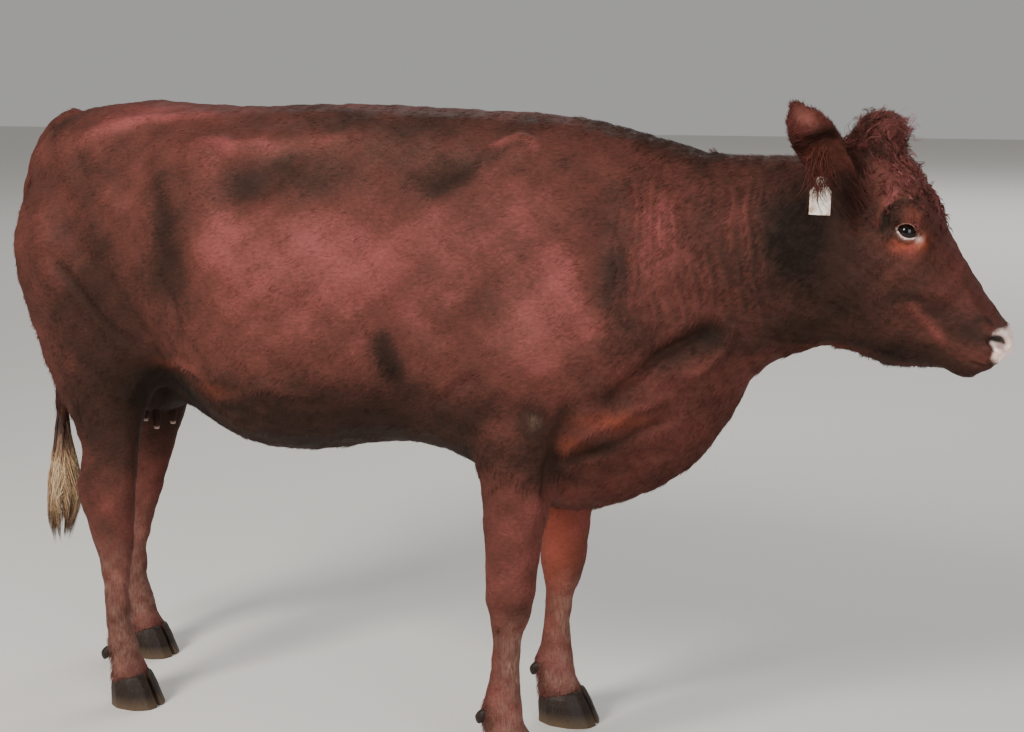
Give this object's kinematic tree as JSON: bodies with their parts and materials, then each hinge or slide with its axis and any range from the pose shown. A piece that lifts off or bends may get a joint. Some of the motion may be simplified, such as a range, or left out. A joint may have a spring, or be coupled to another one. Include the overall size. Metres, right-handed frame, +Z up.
{
  "type": "cow",
  "caption": "Life-size standing red polled beef cow with its right side foremost, a blank tag in the right ear, a cream tail switch and all hooves flat on the floor",
  "frame": {"origin": "on the floor, under the middle of the box round the whole animal, tail and ears included", "axes": "+X towards the muzzle, +Y towards the animal's left side, +Z up"},
  "size_m": [2.2469, 0.665, 1.357],
  "materials": {
    "coat": "short dark red hair with a soft sheen",
    "ear_skin": "thin skin with fine hair",
    "switch_hair": "long cream hair, matt",
    "hoof": "dark horn, satin",
    "eye": "wet, glossy dark brown",
    "teat": "bare pink skin, satin",
    "tag": "worn white plastic, satin"
  },
  "bodies": {
    "root": {"head": "coat", "lower_jaw": "coat", "topknot": "coat", "eye_right": "eye", "eye_left": "eye", "ear_right": "ear_skin", "ear_left": "ear_skin", "ear_tag": "tag", "ear_tag_stud": "tag", "neck": "coat", "udder": "coat", "teat_fore_right": "teat", "teat_fore_left": "teat", "teat_rear_right": "teat", "teat_rear_left": "teat", "foreleg_right_upper": "coat", "foreleg_right_cannon": "coat", "foreleg_right_foot": "coat", "foreleg_right_claw_outer": "hoof", "foreleg_right_claw_inner": "hoof", "foreleg_right_dewclaw_outer": "hoof", "foreleg_right_dewclaw_inner": "hoof", "hindleg_right_upper": "coat", "hindleg_right_cannon": "coat", "hindleg_right_foot": "coat", "hindleg_right_claw_outer": "hoof", "hindleg_right_claw_inner": "hoof", "hindleg_right_dewclaw_outer": "hoof", "hindleg_right_dewclaw_inner": "hoof", "foreleg_left_upper": "coat", "foreleg_left_cannon": "coat", "foreleg_left_foot": "coat", "foreleg_left_claw_outer": "hoof", "foreleg_left_claw_inner": "hoof", "foreleg_left_dewclaw_outer": "hoof", "foreleg_left_dewclaw_inner": "hoof", "hindleg_left_upper": "coat", "hindleg_left_cannon": "coat", "hindleg_left_foot": "coat", "hindleg_left_claw_outer": "hoof", "hindleg_left_claw_inner": "hoof", "hindleg_left_dewclaw_outer": "hoof", "hindleg_left_dewclaw_inner": "hoof", "trunk": "coat", "tail_root": "coat", "tail_upper": "coat", "tail_lower": "coat", "tail_switch": "switch_hair"}
  },
  "joints": []
}
